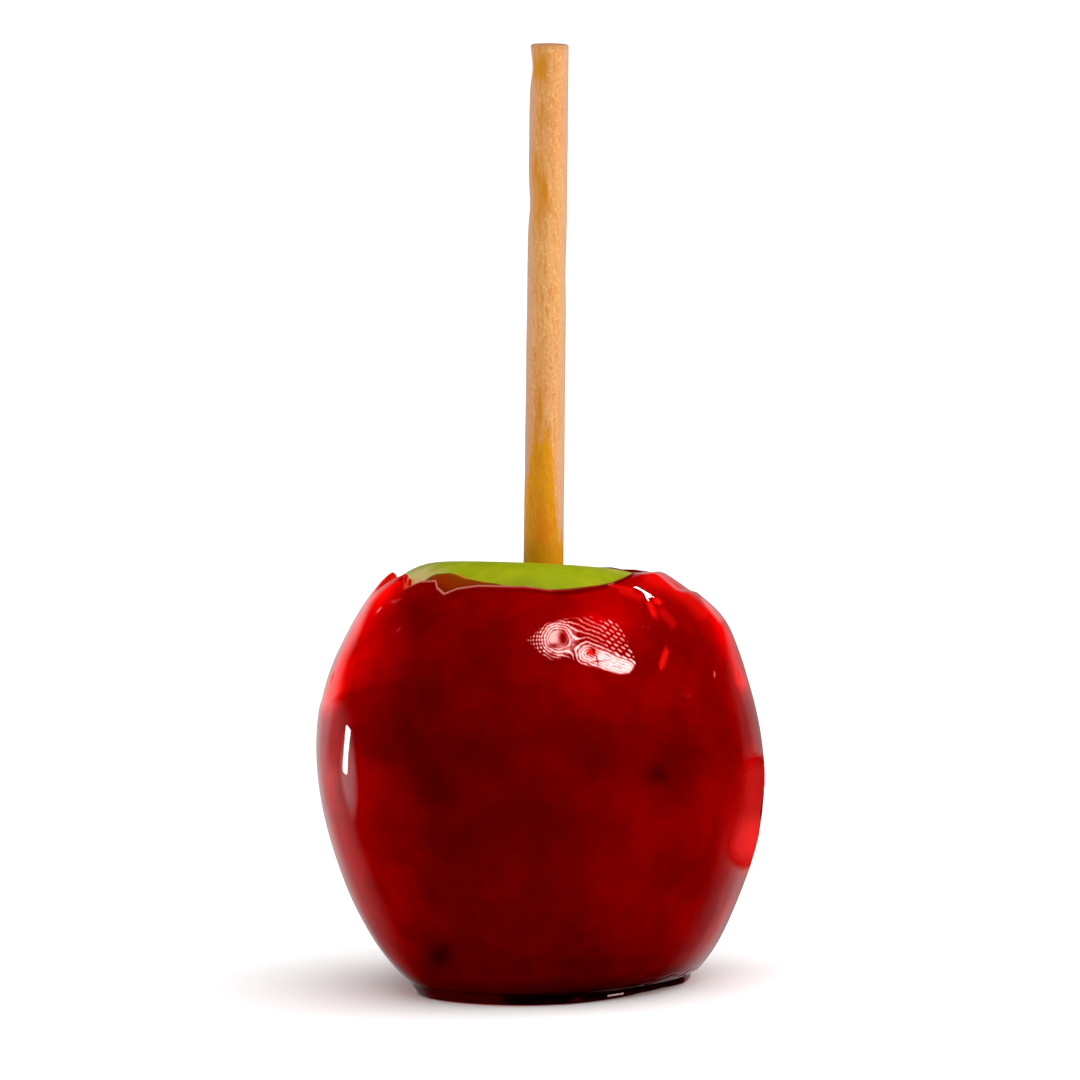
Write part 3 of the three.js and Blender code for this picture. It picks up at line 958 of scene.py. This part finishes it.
def pale(co, row):
    """How much highlight is painted on what the candy scatters, where 0 is red and 1 nearly white."""
    azimuth = azimuth_of(co)
    name = row_at(CANDY_ROWS, row)[0]
    total = 0.3 * pale_edge(co, row)
    if row < OUTER_ROWS and name not in ("lip", "glaze") and shown(azimuth) > 0:
        total += shown(azimuth) * on_marks(as_seen(co), PALE_MARKS)
    if name == "shoulder":
        total += crinkle(azimuth, co.z)[1]
    return min(1.0, total)


def burnt(co, row):
    """1 where painted shade makes the candy's foot nearly black."""
    name = row_at(CANDY_ROWS, row)[0]
    low = 1.0 if name in ("flank", "corner") else 0.0
    if name == "skirt":
        low = smooth(co.z, 2.6, 2.0)
    azimuth = azimuth_of(co)
    return low * max(between(azimuth, *BLACK_SPAN), BROWN * between(azimuth, *BROWN_SPAN))


def dull(co, row):
    """1 on the fresh fracture, which leans forward more than the skin round it."""
    front = shown(azimuth_of(co))
    if co.x < 0 or front == 0:
        return 0.0
    return front * smooth(to_path(as_seen(co), DULL), DULL_HALF, DULL_HALF / 2)


def amber(co, row):
    """1 where the candy is too thin to be red."""
    thin = row_at(CANDY_ROWS, row)[0] in ("lip", "glaze")
    return between(azimuth_of(co), *AMBER_SPAN) if thin else 0.0


def candy_material(settings):
    n = Nodes(bpy.data.materials.new("red_toffee"))
    swell = n.noise(n.coords(), 120, 2, 0.5)
    bump = n.add("Bump", {"Height": swell, "Strength": 0.2, "Distance": 0.25 * MM})
    clear = n.range(n.attribute("cloudy"), 0, 1, 1, 0, False)
    tint = n.mix(n.attribute("amber"), (0.85, 0.006, 0.004, 1), (1.0, 0.5, 0.32, 1))
    # Painted shade: the foot nearly black.
    tint = n.mix(n.attribute("burnt"), tint, (0.05, 0.001, 0.001, 1))
    # Painted highlights, pale pink over the candy's colour.
    tint = n.mix(n.attribute("pale"), tint, (0.92, 0.68, 0.66, 1))
    rough = n.range(n.attribute("dull"), 0, 1, 0.03, 0.3, False)
    forward = n.add("CombineXYZ", {"Y": n.times(n.attribute("dull"), -0.7)})
    tipped = n.add("VectorMath", {0: bump.outputs[0], 1: forward.outputs[0]}, operation="ADD")
    normal = n.add("VectorMath", {0: tipped.outputs[0]}, operation="NORMALIZE")
    inputs = {"Base Color": tint, "Roughness": rough, "IOR": 1.5}
    inputs.update({"Transmission Weight": clear, "Normal": normal.outputs[0]})
    glass = n.add("BsdfPrincipled", inputs)
    shadow = n.add("LightPath").outputs["Is Shadow Ray"]
    through = n.add("BsdfTransparent")
    surface = n.add("MixShader", {0: shadow, 1: glass.outputs[0], 2: through.outputs[0]})
    soak = n.add("VolumeAbsorption", {"Color": settings.colour, "Density": settings.depth})
    n.put(n.output.inputs["Surface"], surface.outputs[0])
    n.put(n.output.inputs["Volume"], soak.outputs[0])
    return n.owner


class TOFFEE_OT_candy(bpy.types.Operator):
    """Make the hard candy shell, from its flat foot to its torn edge"""

    bl_idname = "toffee.make_candy"
    bl_label = "Candy shell"

    def execute(self, context):
        bm, row = lathe([candy_at(i, 0) for i in range(len(CANDY_ROWS))], CANDY_COLUMNS)
        for *box, cuts in FINER:
            refine(bm, row, box, OUTER_ROWS, cuts)
        form(bm, row, candy_at)
        piece = finish_piece(bm, "candy_glass", candy_material(context.scene.toffee_candy), 55)
        paint(piece, cloudy=cloudy, pale=pale, amber=amber, burnt=burnt, dull=dull)
        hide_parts("candy_shell")
        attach(piece, "root")
        return {"FINISHED"}


# ---- The stick ----

# The stick leans to the right, and its middle line crosses the apple's at one height.
STICK_LENGTH = 140.0
STICK_TOP = 155.29
STICK_LEAN = 3.05
STICK_CROSSES = 46.5
STICK_SIDES = 72
STICK_STEPS = 280
STICK_CHAMFER = 0.25
END_RINGS = 3
END_RING = 0.7

# How uneven the stick is, how many degrees wide its dents are, and the dents: height,
# side, depth and how tall.
UNEVEN_WOOD = 0.06
DENT_WIDE = 50
DENTS = ((151.5, -80, 0.42, 2.6), (129, -95, 0.3, 3), (118, 60, 0.18, 5), (96, 170, 0.25, 4))

# How high up the stick the syrup has soaked, at each azimuth of the stick's own.
SOAKED = (
    (-180, 79), (-90, 78), (-78, 80), (-62, 85), (-51, 87), (-43, 89.4), (-36, 91), (-18, 91.6),
    (-8, 92), (4, 93), (9, 92.6), (14, 91), (18, 89), (25, 85), (31, 80.5), (38, 77), (46, 75.3),
    (55, 74.7), (65, 74.4), (90, 74.2), (180, 79),
)

# Soft spots on the stick: height, side, millimetres tall, degrees wide, strength. The stains, the darkest of
# the syrup low on the front, and painted shade, green-brown, at the left where the stick leaves the apple.
SPOTS = {
    "stained": (
        (151.6, -46, 2.9, 28, 1.25), (152, -14, 3.2, 20, 0.6), (143.8, -26, 3.4, 20, 0.7),
        (135.5, -44, 3.6, 30, 0.55), (131.5, -12, 2.8, 15, 0.8), (132.5, -34, 8, 30, 0.35),
        (127, -38, 3.2, 26, 0.45), (110, -26, 24, 13, 0.3), (96, -14, 4.5, 14, 0.9),
        (88, -24, 6, 12, 0.5), (112, 120, 6, 30, 0.5), (140, -170, 5, 40, 0.5),
    ),
    "scorched": ((75.2, 3, 2.2, 28, 1), (79, -4, 3.2, 15, 0.8)),
    "painted_base_shade": ((69.5, -66, 3.6, 26, 0.8),),
}


def stick_side(co):
    """Height up the stick and azimuth round its own axis, of a point in millimetres."""
    lean = radians(STICK_LEAN)
    from_cross = co.z - STICK_CROSSES
    across = co.x * cos(lean) - from_cross * sin(lean)
    along = co.x * sin(lean) + from_cross * cos(lean)
    return along + STICK_CROSSES, degrees(atan2(across, -co.y))


def soaked(co, row):
    """Millimetres below the line to which the syrup has soaked."""
    height, side = stick_side(co)
    return round_stops(SOAKED, side) - height


def stick_spots(spots):
    """The field that soft spots on the stick add up to."""

    def field(co, row):
        height, side = stick_side(co)
        total = 0.0
        for level, where, tall, wide, strength in spots:
            total += strength * spot(height - level, degrees_from(where, side), tall, wide)
        return total

    return field


def rim(co, row):
    """How far round to the stick's sides, where a paler, pinker sheen is painted."""
    around = abs(degrees_from(0, stick_side(co)[1]))
    return 0.85 * smooth(around, 25, 75) * smooth(around, 130, 95)


def end_grain(co, row):
    """How dark the cut end is."""
    return 0.3 * smooth(stick_side(co)[0], STICK_TOP - 0.45, STICK_TOP - 0.15)


def stick_material(settings):
    n = Nodes(bpy.data.materials.new("stick_wood"))
    lean = (0, -radians(STICK_LEAN), 0)
    grain = n.noise(n.coords(scale=(850, 850, 22), turn=lean), 1.0, 5, 0.6, 0.5)
    pores = n.noise(n.coords(scale=(2400, 2400, 420), turn=lean), 1.0, 2)
    speckle = n.noise(n.coords(scale=(2700, 2700, 1700), turn=lean), 1.0, 2)
    blush = n.noise(n.coords(scale=(150, 150, 60), turn=lean), 1.0, 3, 0.5)
    wood = n.coat(settings.wood, grain, 0.32, 0.68, 1.0, (0.5, 0.25, 0.085))
    wood = n.coat(wood, blush, 0.4, 0.65, 0.6, (0.47, 0.18, 0.06))
    wood = n.coat(wood, pores, 0.52, 0.68, 0.6, (0.38, 0.14, 0.035))
    wood = n.coat(wood, speckle, 0.52, 0.64, 0.45, (0.6, 0.36, 0.14))
    # A painted sheen, pale and pink, on the stick's sides.
    wood = n.mix(n.attribute("rim"), wood, (0.36, 0.22, 0.145, 1))
    rag = n.range(grain, 0.2, 0.8, -2.5, 2.5, False)
    rag = n.plus(rag, n.range(speckle, 0.25, 0.75, -3.0, 3.0, False))
    wet = n.range(n.plus(n.attribute("soaked"), rag), -1.0, 1.4)
    syrup = n.coat(settings.stain, blush, 0.35, 0.65, 1.0, (0.5, 0.2, 0.002))
    syrup = n.coat(syrup, pores, 0.48, 0.66, 0.45, (0.33, 0.12, 0.002))
    syrup = n.mix(n.range(speckle, 0.36, 0.48, 0.28, 0.0), syrup, (0.28, 0.12, 0.002, 1))
    colour = n.mix(wet, wood, syrup)
    ragged = n.plus(n.range(grain, 0.2, 0.8, -0.3, 0.3), n.range(pores, 0.2, 0.8, -0.25, 0.25))
    stains = n.plus(n.attribute("stained"), ragged)
    colour = n.coat(colour, stains, 0.1, 1.3, 1.0, (0.42, 0.155, 0.006))
    burns = n.plus(n.attribute("scorched"), ragged)
    colour = n.coat(colour, burns, 0.2, 1.0, 0.85, (0.5, 0.14, 0.002))
    # Painted shade at the left where the stick leaves the apple.
    colour = n.mix(n.attribute("painted_base_shade"), colour, (0.2, 0.125, 0.002, 1))
    colour = n.mix(n.attribute("end"), colour, (0.16, 0.06, 0.02, 1))
    rough = n.range(wet, 0, 1, 0.66, 0.42)
    bump = n.add("Bump", {"Height": grain, "Strength": 0.35, "Distance": 0.12 * MM})
    inputs = {"Base Color": colour, "Roughness": rough, "Normal": bump.outputs[0]}
    inputs["Specular IOR Level"] = 0.12
    return n.surface(inputs)


def stick_radius(height, side, share, settings):
    """The stick's radius with its dents and its slight unevenness."""
    radius = lerp(settings.bottom_radius, settings.top_radius, share) / MM
    for level, where, deep, tall in DENTS:
        radius -= deep * hump(degrees_from(where, side), DENT_WIDE) * hump(height - level, tall)
    turn = radians(side)
    around = Vector((sin(turn), cos(turn), height / 13))
    return radius - UNEVEN_WOOD * (1 + noise.noise(around * 1.9)) / 2


class TOFFEE_OT_stick(bpy.types.Operator):
    """Make the round wooden stick, a little crooked and nicked"""

    bl_idname = "toffee.make_stick"
    bl_label = "Stick"

    def execute(self, context):
        settings = context.scene.toffee_stick
        bm = bmesh.new()
        row = bm.verts.layers.float.new("row")
        bmesh.ops.create_circle(bm, cap_ends=True, segments=STICK_SIDES, radius=1.0)
        ring = list(bm.edges)
        top = STICK_LENGTH - STICK_CHAMFER
        levels = [lerp(STICK_CHAMFER, top, i / STICK_STEPS) for i in range(STICK_STEPS + 1)]
        for level in levels + [STICK_LENGTH]:
            grown = bmesh.ops.extrude_edge_only(bm, edges=ring)["geom"]
            ring = [item for item in grown if isinstance(item, bmesh.types.BMEdge)]
            for item in grown:
                if isinstance(item, bmesh.types.BMVert):
                    item.co.z = level
        bmesh.ops.contextual_create(bm, geom=ring)
        foot = STICK_TOP - STICK_LENGTH
        for vert in bm.verts:
            x, y, level = vert.co
            radius = stick_radius(foot + level, azimuth_of(vert.co), level / STICK_LENGTH, settings)
            if level in (0, STICK_LENGTH):
                radius -= STICK_CHAMFER
            vert.co = Vector((x * radius, y * radius, foot + level - STICK_CROSSES))
        for _ in range(END_RINGS):
            ends = [face for face in bm.faces if len(face.verts) > 4]
            bmesh.ops.inset_individual(bm, faces=ends, thickness=END_RING)
        bmesh.ops.scale(bm, vec=(MM, MM, MM), verts=bm.verts)
        lean = Matrix.Rotation(radians(STICK_LEAN), 4, "Y")
        place = Matrix.Translation((0, 0, STICK_CROSSES * MM)) @ lean
        bmesh.ops.transform(bm, matrix=place, verts=bm.verts)
        bmesh.ops.recalc_face_normals(bm, faces=bm.faces)
        piece = finish_piece(bm, "stick_dowel", stick_material(settings), 30)
        spotted = {name: stick_spots(spots) for name, spots in SPOTS.items()}
        paint(piece, soaked=soaked, **spotted, end=end_grain, rim=rim)
        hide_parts("stick")
        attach(piece, "root")
        return {"FINISHED"}


# ---- The stage ----

FLOOR_RADIUS = 6.0
SENSOR = 36.0
AIM = Vector((0, 0, 0.04))

# Each lamp's azimuth, elevation and power: the even light of the sky, the large soft fills
# with their size in metres, and the cards with their width, height, brightness and turn.
SKY = (40, 62, 3.0)
FILLS = (
    ("front_fill", 30, 25, 4, 1.2),
    ("left_fill", -115, 5, 20, 0.6),
    ("right_fill", 85, 5, 16, 0.6),
)
CARDS = (("left_sliver", -118.5, -2.5, 5, 10, 14, -6), ("rim_card", 130, 40, 9, 2.6, 20, 42))
CARD_DISTANCE = 1.2

# What a glossy ray sees of the room, which is dark but for pale walls behind the apple: at
# the left, low at the left, at the right, above, and low at the right. A wall is a list of
# steps, each the places behind the apple where it starts and ends (1 is straight behind)
# and its brightness, and the last is a brightness alone.
LEFT_WALL = ((0.74, 0.86, 0.30), (0.88, 1.0, 0.25))
LOW_LEFT = ((0.40, 0.56, 0.30), (0.85, 1.0, 0.25))
RIGHT_WALL = ((0.60, 0.70, 0.12), (0.74, 0.84, 0.22))
UPPER_WALL = ((0.82, 1.0, 0.5),)
LOW_RIGHT = 0.3

# How bright the room is to matt pieces, through the candy and to the eye.
ROOM = {"matt": 0.75, "through": 0.8, "eye": 0.97}

# Soft glows on the walls: azimuth, elevation, radius in degrees, brightness.
GLOWS = ((-118, -7, 10, 1.4), (-135, 1, 20, 0.25), (-160, 1, 22, 0.3))


def towards(azimuth, elevation):
    """The unit direction from the apple at an azimuth and an elevation in degrees."""
    side, up = radians(azimuth), radians(elevation)
    return Vector((sin(side) * cos(up), -cos(side) * cos(up), sin(up)))


def world_light(scene):
    """A pale studio room: bright to the eye and through the candy, and dark in its gloss
    but for the walls behind the apple."""
    world = bpy.data.worlds.new("studio")
    n = Nodes(world, "OutputWorld")
    direction = n.add("TexCoord").outputs["Generated"]
    split = n.add("SeparateXYZ", {"Vector": direction}).outputs

    def wall(steps):
        total = 0.0
        for low, high, bright in steps:
            total = n.plus(n.range(split["Y"], low, high, 0.0, bright), total)
        return total

    def pick(share, a, b):
        inputs = {"Factor": share, "A": a, "B": b}
        return n.add("Mix", inputs, data_type="FLOAT").outputs["Result"]

    low = n.range(split["Z"], -0.2, -0.35, 0.0, LOW_RIGHT)
    right = n.plus(wall(RIGHT_WALL), n.times(low, n.range(split["Y"], 0.35, 0.8)))
    right = n.times(right, n.range(split["Z"], -0.85, -0.6))
    left = pick(n.range(split["Z"], -0.08, -0.16), wall(LEFT_WALL), wall(LOW_LEFT))
    left = n.times(left, n.range(split["Z"], -0.6, -0.25))
    sides = pick(n.range(split["X"], -0.1, 0.1), left, right)
    for azimuth, elevation, radius, bright in GLOWS:
        facing = n.add("VectorMath", {0: direction, 1: towards(azimuth, elevation)}, operation="DOT_PRODUCT")
        edge = cos(radians(radius))
        sides = n.plus(sides, n.range(facing.outputs["Value"], edge, 1.0, 0.0, bright))
    upper = n.times(wall(UPPER_WALL), n.range(split["Z"], 0.4, 0.12))
    gloss = pick(n.range(split["Z"], 0.02, 0.14), sides, upper)
    path = n.add("LightPath").outputs
    level = pick(path["Is Glossy Ray"], ROOM["matt"], gloss)
    level = pick(path["Is Transmission Ray"], level, ROOM["through"])
    level = pick(path["Is Camera Ray"], level, ROOM["eye"])
    background = n.add("Background", {"Strength": level})
    n.put(n.output.inputs["Surface"], background.outputs[0])
    scene.world = world


def lamp(name, kind, azimuth, elevation, power, distance=1.5, turn=0.0, card=False, **shape):
    """Puts a lamp round the apple, facing it. It isn't seen directly or through candy. A
    card only shows in gloss, and any other lamp doesn't show in it."""
    data = bpy.data.lights.new(name, kind)
    data.energy = power
    for key, value in shape.items():
        setattr(data, key, value)
    out = towards(azimuth, elevation)
    spin = Matrix.Rotation(radians(turn), 4, "Z")
    facing = out.to_track_quat("Z", "Y").to_matrix().to_4x4() @ spin
    holder = new_object(name, data)
    holder.matrix_world = Matrix.Translation(AIM + out * distance) @ facing
    holder.visible_camera = False
    holder.visible_transmission = False
    holder.visible_glossy = card
    holder.visible_diffuse = not card


def gloss_card(name, azimuth, elevation, wide, tall, bright, turn):
    """A bright card: its place, its size in degrees as seen from the apple, how bright it
    is and how far it is turned."""
    size, size_y = (2 * CARD_DISTANCE * tan(radians(span) / 2) for span in (wide, tall))
    power = bright * pi * size * size_y
    shape = {"shape": "RECTANGLE", "size": size, "size_y": size_y}
    lamp(name, "AREA", azimuth, elevation, power, CARD_DISTANCE, turn, True, **shape)


def camera_at(settings):
    """A long lens that looks down on the apple, rolled a little."""
    right, up, forward = camera_axes(settings.elevation, settings.roll)
    aim = (right * MIDDLE[0] + up * MIDDLE[1]) * MM
    data = bpy.data.cameras.new("camera")
    data.sensor_width = SENSOR
    data.lens = SENSOR * CAMERA_DISTANCE / (FRAME_PIXELS / PIXELS_PER_MM * MM)
    data.clip_end = 100
    camera = new_object("camera", data)
    axes = Matrix((right, up, -forward)).transposed().to_4x4()
    camera.matrix_world = Matrix.Translation(aim - forward * CAMERA_DISTANCE) @ axes
    bpy.context.scene.camera = camera


def floor_material(settings):
    n = Nodes(bpy.data.materials.new("pale_floor"))
    tone = n.range(n.noise(n.coords(), 3, 3), 0.3, 0.7, 0.985, 1.0)
    level = n.add("CombineColor", {"Red": tone, "Green": tone, "Blue": tone}).outputs[0]
    colour = n.mix(1.0, settings.floor, level, "MULTIPLY")
    return n.surface({"Base Color": colour, "Roughness": 0.8})


class TOFFEE_OT_stage(bpy.types.Operator):
    """Make the pale floor, the soft lamps and the camera"""

    bl_idname = "toffee.make_stage"
    bl_label = "Stage"

    def execute(self, context):
        scene = context.scene
        bm = bmesh.new()
        bmesh.ops.create_circle(bm, cap_ends=True, segments=96, radius=FLOOR_RADIUS)
        bmesh.ops.translate(bm, verts=bm.verts, vec=(0, 0, -0.1 * MM))
        floor = finish_piece(bm, "floor", floor_material(scene.toffee_stage))
        floor.visible_glossy = False
        world_light(scene)
        lamp("sky", "SUN", *SKY, angle=pi / 2)
        for name, azimuth, elevation, power, size in FILLS:
            lamp(name, "AREA", azimuth, elevation, power, shape="DISK", size=size)
        for place in CARDS:
            gloss_card(*place)
        camera_at(scene.toffee_stage)
        scene.view_settings.view_transform = "Standard"
        return {"FINISHED"}


# ---- The panel, and the run as a script ----

OPERATORS = (TOFFEE_OT_apple, TOFFEE_OT_candy, TOFFEE_OT_stick, TOFFEE_OT_stage)


class TOFFEE_PT_panel(bpy.types.Panel):
    """Lists the pieces and what can be changed on them"""

    bl_idname = "TOFFEE_PT_panel"
    bl_label = "Toffee apple"
    bl_space_type = "VIEW_3D"
    bl_region_type = "UI"
    bl_category = "Toffee apple"

    def draw(self, context):
        for name, group in SETTINGS.items():
            box = self.layout.box()
            for key in group.__annotations__:
                box.prop(getattr(context.scene, name), key)
        for operator in OPERATORS:
            self.layout.operator(operator.bl_idname)


def register():
    for name, group in SETTINGS.items():
        bpy.utils.register_class(group)
        setattr(bpy.types.Scene, name, PointerProperty(type=group))
    for cls in OPERATORS + (TOFFEE_PT_panel,):
        bpy.utils.register_class(cls)


def unregister():
    for cls in reversed(OPERATORS + (TOFFEE_PT_panel,)):
        bpy.utils.unregister_class(cls)
    for name, group in SETTINGS.items():
        delattr(bpy.types.Scene, name)
        bpy.utils.unregister_class(group)


def main():
    register()
    for operator in OPERATORS:
        group, name = operator.bl_idname.split(".")
        getattr(getattr(bpy.ops, group), name)()


if __name__ == "__main__":
    main()
